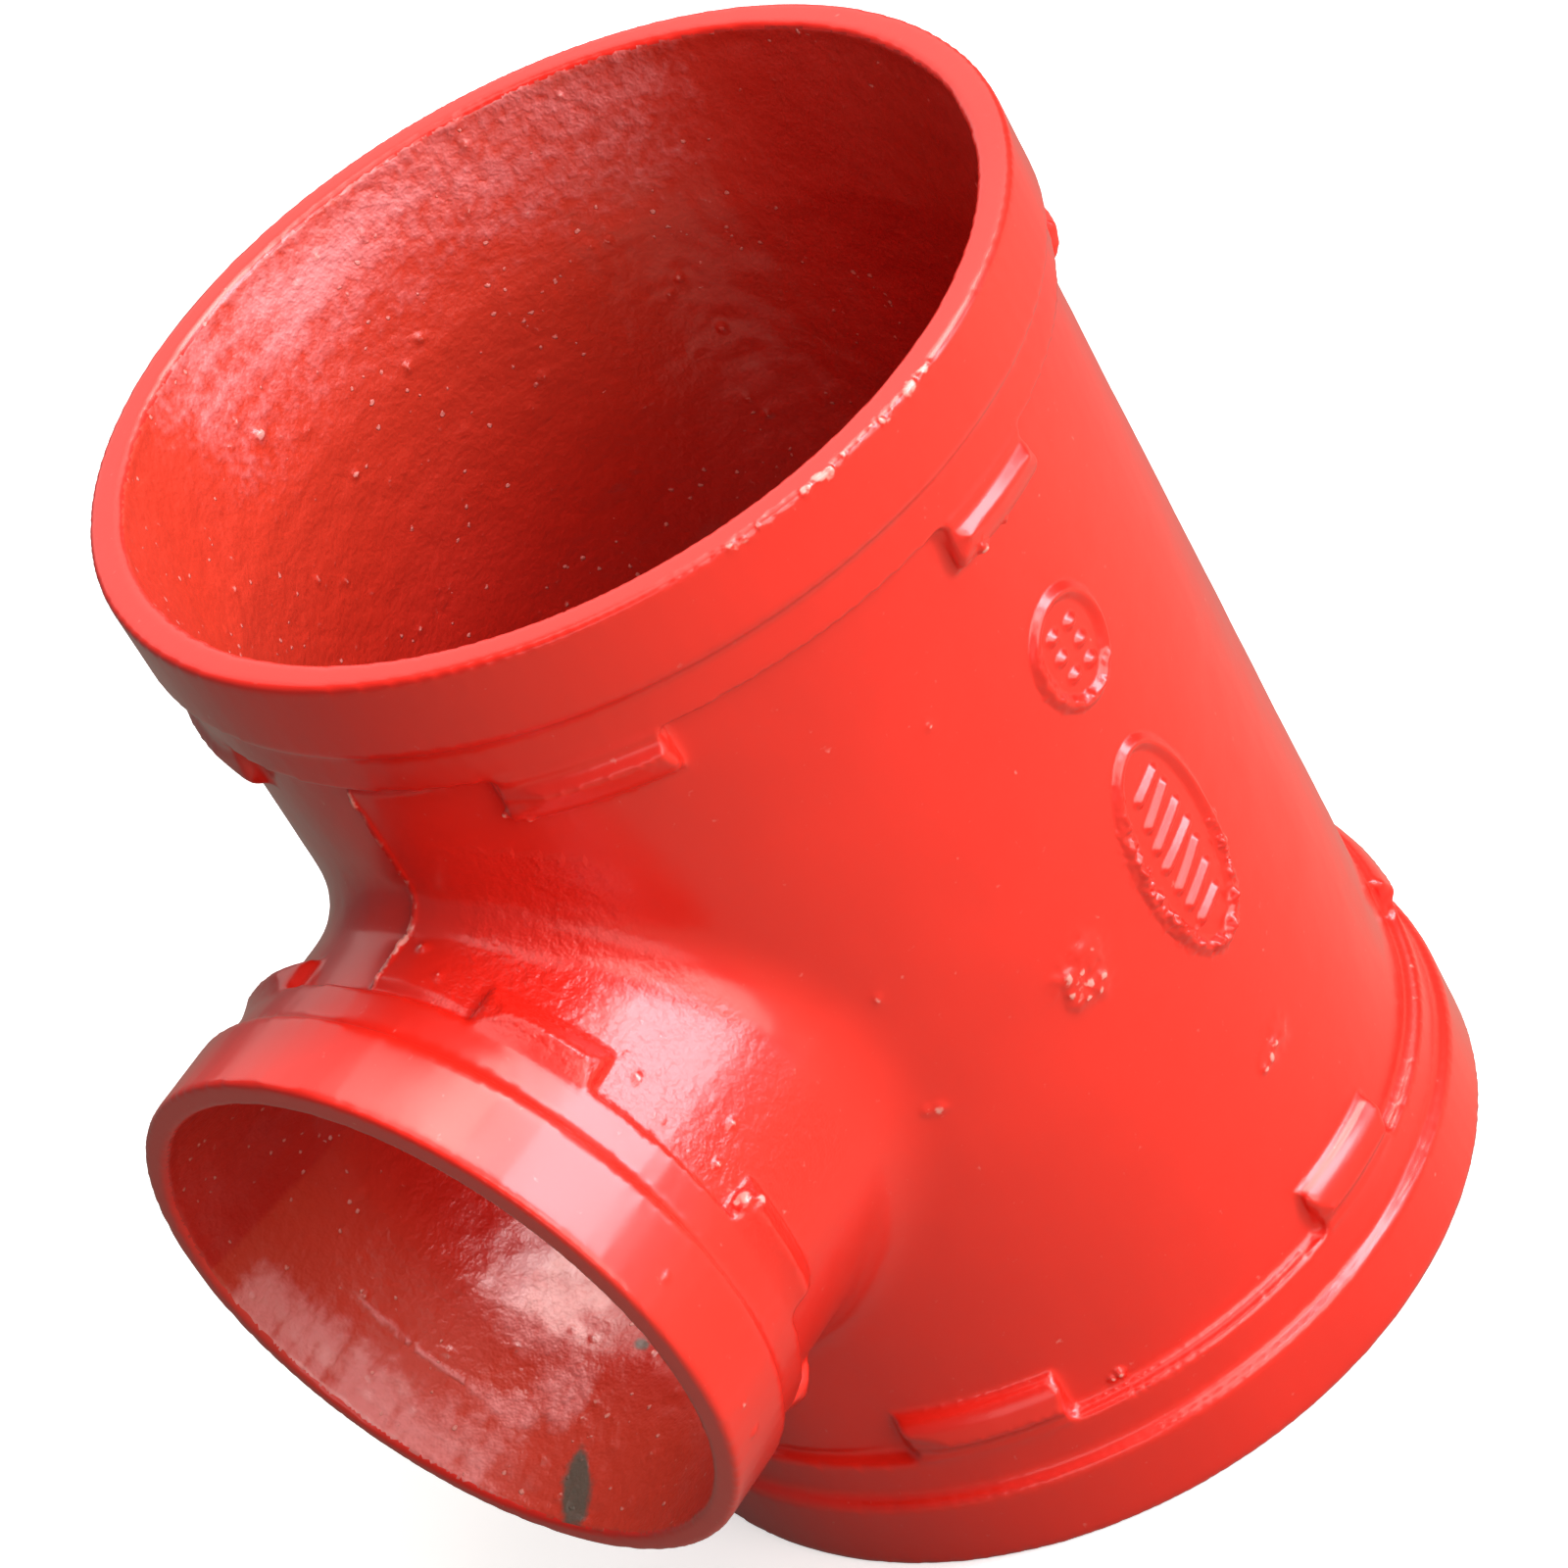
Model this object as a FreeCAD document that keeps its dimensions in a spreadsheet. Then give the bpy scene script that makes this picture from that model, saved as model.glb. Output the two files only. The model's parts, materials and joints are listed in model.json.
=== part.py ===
import FreeCAD, Part
import os
import Sketcher

# Grooved reducing tee, one iron casting: a straight run with a grooved collar at each end, and a smaller branch
# with a grooved collar at right angles to it. Sizes are in millimetres.
# The run's axis is Z and the branch points along +X. The origin is the centre of the lower run end face.

os.makedirs("parts", exist_ok=True)
doc = FreeCAD.newDocument("grooved_tee")
V = FreeCAD.Vector

# Every size of the casting by name.
sheet = doc.addObject("Spreadsheet::Sheet", "dims")
sizes = [
    ("run_half", 108.25),
    ("branch_reach", 120.65),
    ("body_r", 77.6),
    ("neck_r", 52.7),
    ("crotch_r", 8.0),
    ("side_blend_r", 18.0),
    ("core_over", 1.0),
    ("collar_lap", 20.0),
    ("corner_share", 0.293),
    # run collars
    ("run_end_r", 82.55),
    ("run_seat", 15.6),
    ("run_groove_wide", 9.3),
    ("run_groove_deep", 2.16),
    ("run_wall_lean", 0.3),
    ("run_stub", 42.0),
    ("run_rim_edge", 0.6),
    ("run_land_edge", 0.45),
    ("run_groove_corner", 1.8),
    ("run_step_corner", 1.4),
    # lugs: lengths are measured along the run, and places round it in degrees from the branch
    ("run_lug_rise", 1.65),
    ("run_lug_back", 4.3),
    ("run_lug_foot", 9.2),
    ("run_lug_foot_rise", 1.9),
    ("run_lug_run_out", 1.4),
    ("run_lug_one_start", 21.6),
    ("run_lug_one_full", 27.2),
    ("run_lug_one_end", 41.8),
    ("run_lug_one_set_back", 0.6),
    ("run_lug_two_start", 81.4),
    ("run_lug_two_end", 97.7),
    ("run_lug_slant", 1.8),
    # branch collar
    ("arm_end_r", 57.15),
    ("arm_seat", 15.3),
    ("arm_groove_wide", 8.9),
    ("arm_groove_deep", 2.11),
    ("arm_wall_lean", 0.3),
    ("arm_stub", 40.0),
    ("arm_rim_edge", 0.6),
    ("arm_land_edge", 0.45),
    ("arm_groove_corner", 1.7),
    ("arm_step_corner", 1.2),
    # lugs: lengths are measured along the branch, and places round it in degrees from the run's upward axis
    ("arm_lug_rise", 1.5),
    ("arm_lug_back", 3.7),
    ("arm_lug_foot", 7.4),
    ("arm_lug_foot_rise", 1.3),
    ("arm_lug_run_out", 1.2),
    ("arm_lug_one_start", 22.5),
    ("arm_lug_one_full", 28.5),
    ("arm_lug_one_end", 45.3),
    ("arm_lug_one_set_back", 3.0),
    ("arm_lug_two_start", 78.5),
    ("arm_lug_two_end", 103.0),
    ("arm_lug_slant", 2.2),
    # shared by all lugs: how the cove leads in, how deep the lug is rooted, and how far its end faces spread
    ("cove_lead", 1.4),
    ("cove_sunk", 0.15),
    ("cove_mid_rise", 0.4),
    ("cove_mid_back", 0.45),
    ("heel_rise", 0.35),
    ("heel_back", 0.5),
    ("lug_root", 3.0),
    ("lug_sunk", 0.12),
    ("lug_start_spread", 5.0),
    ("lug_end_spread", 1.6),
    ("cutter_in", 5.0),
    ("cutter_out", 3.0),
    # passages
    ("run_wall", 5.6),
    ("run_face_wall", 6.15),
    ("run_mouth_land", 3.0),
    ("run_taper_end", 34.0),
    ("arm_wall", 5.5),
    ("arm_face_wall", 4.75),
    ("arm_mouth_land", 3.0),
    ("arm_taper_end", 30.0),
    ("lip_edge", 0.8),
    ("core_shift_y", -0.9),
    ("core_shift_z", -0.8),
    ("inner_ease", 2.6),
]
derived = [
    ("run_long", "=2 * run_half"),
    ("core_half", "=run_half - collar_lap"),
    ("core_arm", "=branch_reach - collar_lap"),
    ("core_wide", "=2 * run_end_r"),
]
for tag, body in (("run", "body_r"), ("arm", "neck_r")):
    derived += [
        (tag + "_body_r", "=" + body),
        (tag + "_floor_r", "=%s_end_r - %s_groove_deep" % (tag, tag)),
        (tag + "_ring_end", "=%s_seat + %s_groove_wide" % (tag, tag)),
        (tag + "_wall_foot", "=%s_seat + %s_wall_lean" % (tag, tag)),
        (tag + "_crest_r", "=%s_floor_r + %s_lug_rise" % (tag, tag)),
        (tag + "_crest_at", "=%s_ring_end + %s_lug_back" % (tag, tag)),
        (tag + "_foot_r", "=%s_body_r + %s_lug_foot_rise" % (tag, tag)),
        (tag + "_foot_at", "=%s_ring_end + %s_lug_foot" % (tag, tag)),
        (tag + "_heel_r", "=%s_body_r + heel_rise * %s_lug_foot_rise" % (tag, tag)),
        (tag + "_heel_at", "=%s_foot_at + heel_back * %s_lug_run_out" % (tag, tag)),
        (tag + "_base_r", "=%s_body_r - lug_sunk" % tag),
        (tag + "_base_at", "=%s_foot_at + %s_lug_run_out" % (tag, tag)),
        (tag + "_cove_from", "=%s_ring_end - cove_lead" % tag),
        (tag + "_cove_start_r", "=%s_floor_r - cove_sunk" % tag),
        (tag + "_cove_mid_r", "=%s_floor_r + cove_mid_rise * %s_lug_rise" % (tag, tag)),
        (tag + "_cove_mid_at", "=%s_ring_end + cove_mid_back * %s_lug_back" % (tag, tag)),
        # eased edges and small roundings of the turned profile
        (tag + "_rim_in", "=%s_end_r - %s_rim_edge" % (tag, tag)),
        (tag + "_land_to", "=%s_seat - %s_land_edge" % (tag, tag)),
        (tag + "_land_in", "=%s_end_r - %s_land_edge" % (tag, tag)),
        (tag + "_corner_r", "=%s_floor_r + %s_groove_corner" % (tag, tag)),
        (tag + "_corner_mid", "=%s_floor_r + corner_share * %s_groove_corner" % (tag, tag)),
        (tag + "_corner_mid_at", "=%s_wall_foot + corner_share * %s_groove_corner" % (tag, tag)),
        (tag + "_corner_at", "=%s_wall_foot + %s_groove_corner" % (tag, tag)),
        (tag + "_step_r", "=%s_body_r + %s_step_corner" % (tag, tag)),
        (tag + "_step_mid", "=%s_body_r + corner_share * %s_step_corner" % (tag, tag)),
        (tag + "_step_mid_at", "=%s_ring_end + corner_share * %s_step_corner" % (tag, tag)),
        (tag + "_step_at", "=%s_ring_end + %s_step_corner" % (tag, tag)),
        (tag + "_inside_r", "=%s_body_r - lug_root" % tag),
        (tag + "_cut_in", "=%s_body_r - cutter_in" % tag),
        (tag + "_cut_out", "=%s_crest_r + cutter_out" % tag),
        (tag + "_bore_r", "=%s_body_r - %s_wall" % (tag, tag)),
        (tag + "_mouth_r", "=%s_end_r - %s_face_wall" % (tag, tag)),
    ]
    # Ends of the lugs, as seen along the collar's axis: each corner is a radius and an angle. The first lug starts
    # on a long slope, and its other end is steep. Both ends of the second lug are steep.
    one_from = "%s_lug_one_start" % tag
    one_full = "%s_lug_one_full" % tag
    one_to = "%s_lug_one_end" % tag
    one_top = "%s_lug_one_end - %s_lug_one_set_back" % (tag, tag)
    two_from = "%s_lug_two_start" % tag
    two_full = "%s_lug_two_start + %s_lug_slant" % (tag, tag)
    two_top = "%s_lug_two_end - %s_lug_slant" % (tag, tag)
    two_to = "%s_lug_two_end" % tag
    lug_ends = {
        "a": [
            ("cut_in", one_from + " - lug_start_spread"),
            ("floor_r", one_from),
            ("crest_r", one_full),
            ("cut_out", one_full),
            ("cut_out", one_top),
            ("crest_r", one_top),
            ("floor_r", one_to),
            ("cut_in", one_to + " + lug_end_spread"),
        ],
        "b": [
            ("cut_in", two_from + " - lug_end_spread"),
            ("floor_r", two_from),
            ("crest_r", two_full),
            ("cut_out", two_full),
            ("cut_out", two_top),
            ("crest_r", two_top),
            ("floor_r", two_to),
            ("cut_in", two_to + " + lug_end_spread"),
        ],
    }
    for lug, corners in lug_ends.items():
        for k, (radius, angle) in enumerate(corners, 1):
            derived.append(("%s_%s%dx" % (tag, lug, k), "=%s_%s * cos(%s)" % (tag, radius, angle)))
            derived.append(("%s_%s%dy" % (tag, lug, k), "=%s_%s * sin(%s)" % (tag, radius, angle)))
    derived += [("%s_c%dx" % (tag, k), "=-%s_a%dx" % (tag, k)) for k in range(1, 9)]
for tag, far in (("run", "run_long"), ("arm", "branch_reach")):
    derived += [
        (tag + "_lip_out", "=%s_mouth_r + lip_edge + core_over" % tag),
        (tag + "_lip_in", "=core_over + lip_edge"),
        (tag + "_flare_from", "=core_over + %s_mouth_land" % tag),
        (tag + "_flare_to", "=core_over + %s_taper_end" % tag),
        (tag + "_tool_end", "=%s + 2 * core_over" % far),
    ]
derived += [
    ("run_flare_back", "=run_tool_end - run_flare_to"),
    ("run_flare_out", "=run_tool_end - run_flare_from"),
    ("run_lip_back", "=run_tool_end - run_lip_in"),
    ("arm_tool_stop", "=branch_reach + core_over"),
    ("arm_tool_at", "=branch_reach + core_over"),
    ("arm_axis_z", "=run_half + core_shift_z"),
]
line = 1
for alias, number in sizes + derived:
    sheet.set("A%d" % line, alias)
    sheet.set("B%d" % line, str(number))
    sheet.setAlias("B%d" % line, alias)
    line += 1
doc.recompute()


def size(alias):
    return float(sheet.get(alias))


def outline(name, rings, upright):
    # A sketch of closed outlines. Each corner is a pair of aliases, or 0 for a corner on an axis.
    sketch = doc.addObject("Sketcher::SketchObject", name)
    if upright:
        sketch.Placement = FreeCAD.Placement(V(0, 0, 0), FreeCAD.Rotation(V(1, 0, 0), 90))
    for corners in rings:
        first = sketch.GeometryCount
        count = len(corners)
        points = [V(size(x) if x else 0, size(y) if y else 0, 0) for x, y in corners]
        for k in range(count):
            start = points[k]
            end = points[(k + 1) % count]
            sketch.addGeometry(Part.LineSegment(start, end))
        for k in range(count):
            sketch.addConstraint(Sketcher.Constraint("Coincident", first + k, 2, first + (k + 1) % count, 1))
            x, y = corners[k]
            for kind, alias, axis in (("DistanceX", x, -2), ("DistanceY", y, -1)):
                if alias:
                    made = sketch.addConstraint(Sketcher.Constraint(kind, -1, 1, first + k, 1, size(alias)))
                    label = "c%d_%s" % (made, alias)
                    sketch.renameConstraint(made, label)
                    sketch.setExpression("Constraints." + label, "dims." + alias)
                else:
                    sketch.addConstraint(Sketcher.Constraint("PointOnObject", first + k, 1, axis))
    return sketch


def revolve(name, sketch):
    made = doc.addObject("Part::Revolution", name)
    made.Source = sketch
    made.Axis = V(0, 0, 1)
    made.Base = V(0, 0, 0)
    made.Angle = 360
    made.Solid = True
    return made


def joined(name, members):
    made = doc.addObject("Part::MultiFuse", name)
    made.Shapes = members
    made.Refine = True
    return made


def mirrored(name, source, normal, height=None):
    made = doc.addObject("Part::Mirroring", name)
    made.Source = source
    made.Normal = normal
    if height:
        made.setExpression("Base.z", "dims." + height)
    return made


def collar(tag):
    # One grooved end, built with its face at z = 0 and the pipe side above it. The mould parts on the XZ plane.
    profile = outline(tag + "_collar_profile", [[
        (0, 0),
        (tag + "_rim_in", 0),
        (tag + "_end_r", tag + "_rim_edge"),
        (tag + "_end_r", tag + "_land_to"),
        (tag + "_land_in", tag + "_seat"),
        (tag + "_corner_r", tag + "_wall_foot"),
        (tag + "_corner_mid", tag + "_corner_mid_at"),
        (tag + "_floor_r", tag + "_corner_at"),
        (tag + "_floor_r", tag + "_ring_end"),
        (tag + "_step_r", tag + "_ring_end"),
        (tag + "_step_mid", tag + "_step_mid_at"),
        (tag + "_body_r", tag + "_step_at"),
        (tag + "_body_r", tag + "_stub"),
        (0, tag + "_stub"),
    ]], True)
    plain = revolve(tag + "_collar_turned", profile)
    lug_profile = outline(tag + "_lug_profile", [[
        (tag + "_inside_r", tag + "_cove_from"),
        (tag + "_cove_start_r", tag + "_cove_from"),
        (tag + "_cove_mid_r", tag + "_cove_mid_at"),
        (tag + "_crest_r", tag + "_crest_at"),
        (tag + "_foot_r", tag + "_foot_at"),
        (tag + "_heel_r", tag + "_heel_at"),
        (tag + "_base_r", tag + "_base_at"),
        (tag + "_inside_r", tag + "_base_at"),
    ]], True)
    ring = revolve(tag + "_lug_ring", lug_profile)
    keep = outline(tag + "_lug_ends", [
        [("%s_a%dx" % (tag, k), "%s_a%dy" % (tag, k)) for k in range(1, 9)],
        [("%s_b%dx" % (tag, k), "%s_b%dy" % (tag, k)) for k in range(1, 9)],
        [("%s_c%dx" % (tag, k), "%s_a%dy" % (tag, k)) for k in range(1, 9)],
    ], False)
    blocks = doc.addObject("Part::Extrusion", tag + "_lug_blocks")
    blocks.Base = keep
    blocks.Dir = V(0, 0, 1)
    blocks.DirMode = "Custom"
    blocks.Solid = True
    blocks.setExpression("LengthFwd", "dims.%s_stub" % tag)
    front = doc.addObject("Part::Common", tag + "_lugs_front")
    front.Base = ring
    front.Tool = blocks
    back = mirrored(tag + "_lugs_back", front, V(0, 1, 0))
    return joined(tag + "_collar", [plain, front, back])


# The plain body and neck, one quarter first so that their blend can grow from the crotch to the flank.
barrel = doc.addObject("Part::Cylinder", "body_barrel")
barrel.setExpression("Radius", "dims.body_r")
barrel.setExpression("Height", "dims.core_half")
barrel.setExpression("Placement.Base.z", "dims.run_half")
neck = doc.addObject("Part::Cylinder", "branch_neck")
neck.setExpression("Radius", "dims.neck_r")
neck.setExpression("Height", "dims.core_arm")
neck.Placement = FreeCAD.Placement(V(0, 0, 0), FreeCAD.Rotation(V(0, 1, 0), 90))
neck.setExpression("Placement.Base.z", "dims.run_half")
cross = joined("body_cross", [barrel, neck])
quarter_box = doc.addObject("Part::Box", "quarter_box")
quarter_box.setExpression("Length", "2 * dims.branch_reach")
quarter_box.setExpression("Width", "dims.core_wide")
quarter_box.setExpression("Height", "dims.core_wide")
quarter_box.setExpression("Placement.Base.x", "-dims.branch_reach")
quarter_box.setExpression("Placement.Base.z", "dims.run_half")
quarter = doc.addObject("Part::Common", "body_quarter")
quarter.Base = cross
quarter.Tool = quarter_box
doc.recompute()
blend = doc.addObject("Part::Fillet", "body_blend")
blend.Base = quarter
picked = []
for number, edge in enumerate(quarter.Shape.Edges, 1):
    on_both = True
    for part in (0.1, 0.5, 0.9):
        spot = edge.valueAt(edge.FirstParameter + part * (edge.LastParameter - edge.FirstParameter))
        off_body = abs((spot.x ** 2 + spot.y ** 2) ** 0.5 - size("body_r"))
        off_neck = abs((spot.y ** 2 + (spot.z - size("run_half")) ** 2) ** 0.5 - size("neck_r"))
        on_both = on_both and off_body < 0.01 and off_neck < 0.01
    if on_both:
        high = edge.valueAt(edge.FirstParameter).z > edge.valueAt(edge.LastParameter).z
        radii = (size("crotch_r"), size("side_blend_r"))
        picked.append((number,) + (radii if high else radii[::-1]))
blend.Edges = picked
lower = mirrored("body_lower", blend, V(0, 0, 1), "run_half")
half = joined("body_half", [blend, lower])
other = mirrored("body_other", half, V(0, 1, 0))
core = joined("body_core", [half, other])

# The three grooved collars.
low_collar = collar("run")
low_collar.Label = "lower_collar"
top_collar = mirrored("upper_collar", low_collar, V(0, 0, 1), "run_half")
arm_collar = collar("arm")
arm_collar.Placement = FreeCAD.Placement(V(0, 0, 0), FreeCAD.Rotation(V(0, 1, 0), -90))
arm_collar.setExpression("Placement.Base.x", "dims.branch_reach")
arm_collar.setExpression("Placement.Base.z", "dims.run_half")
outside = joined("outside", [core, low_collar, top_collar, arm_collar])

# The passages: both run mouths and the branch mouth flare out to a thinner wall at the face.
run_bore = revolve("run_bore", outline("run_bore_profile", [[
    (0, 0),
    ("run_lip_out", 0),
    ("run_mouth_r", "run_lip_in"),
    ("run_mouth_r", "run_flare_from"),
    ("run_bore_r", "run_flare_to"),
    ("run_bore_r", "run_flare_back"),
    ("run_mouth_r", "run_flare_out"),
    ("run_mouth_r", "run_lip_back"),
    ("run_lip_out", "run_tool_end"),
    (0, "run_tool_end"),
]], True))
run_bore.setExpression("Placement.Base.z", "-dims.core_over")
arm_bore = revolve("arm_bore", outline("arm_bore_profile", [[
    (0, 0),
    ("arm_lip_out", 0),
    ("arm_mouth_r", "arm_lip_in"),
    ("arm_mouth_r", "arm_flare_from"),
    ("arm_bore_r", "arm_flare_to"),
    ("arm_bore_r", "arm_tool_stop"),
    (0, "arm_tool_stop"),
]], True))
arm_bore.Placement = FreeCAD.Placement(V(0, 0, 0), FreeCAD.Rotation(V(0, 1, 0), -90))
arm_bore.setExpression("Placement.Base.x", "dims.arm_tool_at")
arm_bore.setExpression("Placement.Base.y", "dims.core_shift_y")
arm_bore.setExpression("Placement.Base.z", "dims.arm_axis_z")
passage = joined("passage_plain", [run_bore, arm_bore])
doc.recompute()
# The edge where the branch passage breaks into the run passage is eased all round.
inner = doc.addObject("Part::Chamfer", "passage")
inner.Base = passage
picked = []
for number, edge in enumerate(passage.Shape.Edges, 1):
    on_both = True
    for part in (0.1, 0.5, 0.9):
        spot = edge.valueAt(edge.FirstParameter + part * (edge.LastParameter - edge.FirstParameter))
        off_run = abs((spot.x ** 2 + spot.y ** 2) ** 0.5 - size("run_bore_r"))
        side = (spot.y - size("core_shift_y")) ** 2 + (spot.z - size("arm_axis_z")) ** 2
        off_arm = abs(side ** 0.5 - size("arm_bore_r"))
        on_both = on_both and off_run < 0.01 and off_arm < 0.01
    if on_both:
        picked.append((number, size("inner_ease"), size("inner_ease")))
inner.Edges = picked
tee = doc.addObject("Part::Cut", "tee_body")
tee.Base = outside
tee.Tool = inner
tee.Refine = True
tee.Label = "tee_body"
tee.Placement = FreeCAD.Placement(V(0, 0, 0), FreeCAD.Rotation(V(0, 0, 1), 0))
doc.recompute()

bad = []
for made in doc.Objects:
    if "Invalid" in made.State or "Error" in made.State:
        bad.append(made.Name)
    elif hasattr(made, "Shape") and (made.Shape.isNull() or not made.Shape.isValid()):
        bad.append(made.Name)
if bad:
    raise RuntimeError("not sound: " + ", ".join(bad))
if len(tee.Shape.Solids) != 1:
    raise RuntimeError("the casting is %d solids" % len(tee.Shape.Solids))
print("solids", len(tee.Shape.Solids), "faces", len(tee.Shape.Faces), "volume", round(tee.Shape.Volume))
print("box", tee.Shape.BoundBox)
tee.Shape.exportStep("parts/tee_body.step")
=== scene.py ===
import bpy
import bmesh
import itertools
import json
import math
import numpy as np
from mathutils import Matrix, Vector


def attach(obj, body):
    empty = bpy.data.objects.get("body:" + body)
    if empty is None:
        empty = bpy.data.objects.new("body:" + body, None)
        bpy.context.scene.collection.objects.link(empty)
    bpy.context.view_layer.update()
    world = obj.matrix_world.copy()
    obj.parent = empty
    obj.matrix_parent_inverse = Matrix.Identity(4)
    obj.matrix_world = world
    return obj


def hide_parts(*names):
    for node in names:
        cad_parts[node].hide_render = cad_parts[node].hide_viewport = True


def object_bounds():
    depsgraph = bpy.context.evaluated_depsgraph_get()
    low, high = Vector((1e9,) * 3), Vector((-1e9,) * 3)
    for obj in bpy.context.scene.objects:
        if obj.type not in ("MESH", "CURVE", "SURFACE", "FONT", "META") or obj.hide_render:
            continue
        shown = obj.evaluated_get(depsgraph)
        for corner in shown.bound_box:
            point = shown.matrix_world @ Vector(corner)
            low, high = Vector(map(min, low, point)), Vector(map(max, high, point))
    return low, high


# Grooved reducing tee: one iron casting under thick glossy red paint, standing on its lower run end.
# The run's axis is Z, the branch points along +X, and the origin is the centre of the lower end face.
# Names in capitals that end in _R and everything times MM are in metres. Other lengths are in millimetres.
# A span of two numbers is from and to, one of three is low, high and the fade outside them, and one of four
# is start, full, until and end. A noise is its share, its wavelength and its seed.

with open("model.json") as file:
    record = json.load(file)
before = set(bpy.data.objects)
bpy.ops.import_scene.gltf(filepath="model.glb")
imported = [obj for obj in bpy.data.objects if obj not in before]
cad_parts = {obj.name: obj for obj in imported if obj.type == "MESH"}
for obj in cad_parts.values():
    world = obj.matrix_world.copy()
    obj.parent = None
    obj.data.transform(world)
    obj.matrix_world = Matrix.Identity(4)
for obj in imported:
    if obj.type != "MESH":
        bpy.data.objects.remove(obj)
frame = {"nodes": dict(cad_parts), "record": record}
cad_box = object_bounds()
MM = 0.001
NODE = "tee_body"

# Main sizes, from the frame, from the record's mounts, and from the solid's plain outer and inner walls.
mounts = {m["name"]: m for m in frame["record"]["mounts"]}
LOW, HIGH = (np.array(corner) for corner in cad_box)
RUN_LONG = HIGH[2] - LOW[2]
MID = RUN_LONG / 2
REACH = HIGH[0]
RUN_END_R = mounts["run_end_low"]["dims"]["r_mm"] * MM
ARM_END_R = mounts["branch_end"]["dims"]["r_mm"] * MM
BODY_R = 77.6 * MM
NECK_R = 52.7 * MM
BORE_R = 74 * MM
ARM_BORE_R = 49.5 * MM
BOX_MARGIN = 0.01 * MM

# Camera, as solved from the rims of the ends.
CAMERA_AT = Vector((0.48312, 0.63724, 0.69153))
CAMERA_AIM = Vector((0.00573, 0.00217, 0.11746))
CAMERA_ROLL = -30.5
CAMERA_LENS = 131.72
CAMERA_SENSOR = 36


def smooth_step(x, low, high):
    t = np.clip((x - low) / (high - low), 0, 1)
    return t * t * (3 - 2 * t)


def rise_and_fall(x, start, full, until, end):
    # 1 between full and until, 0 before start and after end.
    return smooth_step(x, start, full) * (1 - smooth_step(x, until, end))


def window(x, low, high, fade):
    # 1 between low and high, falling to 0 over the fade outside them.
    return rise_and_fall(x, low - fade, low, high, high + fade)


def ridge(away, half_wide):
    # A rounded ridge, 1 high at its middle.
    return np.exp(-(away / half_wide) ** 2)


# Noise: a lattice whose cells are spread over a table of random values by three primes.
NOISE_VALUES = 65536
NOISE_PRIMES = (73856093, 19349663, 83492791)
NOISE_START = 512.0


def noise(points, wavelength, seed):
    # Smooth noise from -1 to 1.
    p = points / wavelength + NOISE_START
    cell = np.floor(p).astype(np.int64)
    f = p - cell
    f = f * f * (3 - 2 * f)
    values = np.random.default_rng(seed).random(NOISE_VALUES) * 2 - 1
    total = np.zeros(len(points))
    for corner in itertools.product((0, 1), repeat=3):
        x, y, z = ((cell + corner) * NOISE_PRIMES).T
        weight = np.prod(np.where(corner, f, 1 - f), axis=1)
        total += weight * values[(x ^ y ^ z) & (NOISE_VALUES - 1)]
    return total


def layered(points, layers):
    # Several noises added.
    return sum(share * noise(points, wavelength * MM, seed) for share, wavelength, seed in layers)


# Mesh of the casting.
VOXEL = 1.4 * MM
CREASE_ANGLE = math.radians(11)
CREASE_RINGS = 1
SMOOTHING = 0.5
SMOOTHING_ROUNDS = 4


def applied(obj, kind, **settings):
    modifier = obj.modifiers.new(kind, kind)
    for key, value in settings.items():
        setattr(modifier, key, value)
    evaluated = obj.evaluated_get(bpy.context.evaluated_depsgraph_get())
    mesh = bpy.data.meshes.new_from_object(evaluated)
    obj.modifiers.clear()
    old = obj.data
    obj.data = mesh
    bpy.data.meshes.remove(old)


def divide(obj, pick, rings):
    # Halves every edge of the faces that pick finds, grown by some rings of neighbours.
    work = bmesh.new()
    work.from_mesh(obj.data)
    picked = pick(work)
    for _ in range(rings):
        grown = set(picked)
        for face in picked:
            for vertex in face.verts:
                grown.update(vertex.link_faces)
        picked = grown
    edges = {edge for face in picked for edge in face.edges}
    bmesh.ops.subdivide_edges(work, edges=list(edges), cuts=1, use_grid_fill=True)
    bmesh.ops.triangulate(work, faces=[f for f in work.faces if len(f.verts) > 4])
    work.to_mesh(obj.data)
    work.free()


def crease_faces(work):
    picked = set()
    for edge in work.edges:
        if len(edge.link_faces) == 2 and edge.calc_face_angle(0) > CREASE_ANGLE:
            picked.update(edge.link_faces)
    return picked


def vectors(items, field):
    values = np.empty(len(items) * 3, np.float32)
    items.foreach_get(field, values)
    return values.reshape(-1, 3)


def coordinates(mesh):
    return vectors(mesh.vertices, "co").astype(np.float64)


def vertex_normals(mesh):
    return vectors(mesh.vertex_normals, "vector").astype(np.float64)


def divide_where(obj, tests):
    # Each test marks points, in metres. A second test on the finer mesh divides it again.
    for test in tests:
        near = test(coordinates(obj.data))

        def faces_there(work):
            work.verts.ensure_lookup_table()
            return {face for index in np.nonzero(near)[0] for face in work.verts[index].link_faces}

        divide(obj, faces_there, 0)


def casting_base():
    node = frame["nodes"][NODE]
    obj = bpy.data.objects.new("casting", node.data.copy())
    bpy.context.scene.collection.objects.link(obj)
    applied(obj, "REMESH", mode="VOXEL", voxel_size=VOXEL)
    applied(obj, "SHRINKWRAP", target=node, wrap_method="NEAREST_SURFACEPOINT")
    divide(obj, crease_faces, CREASE_RINGS)
    applied(obj, "SHRINKWRAP", target=node, wrap_method="NEAREST_SURFACEPOINT")
    applied(obj, "SMOOTH", factor=SMOOTHING, iterations=SMOOTHING_ROUNDS)
    return obj


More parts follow.
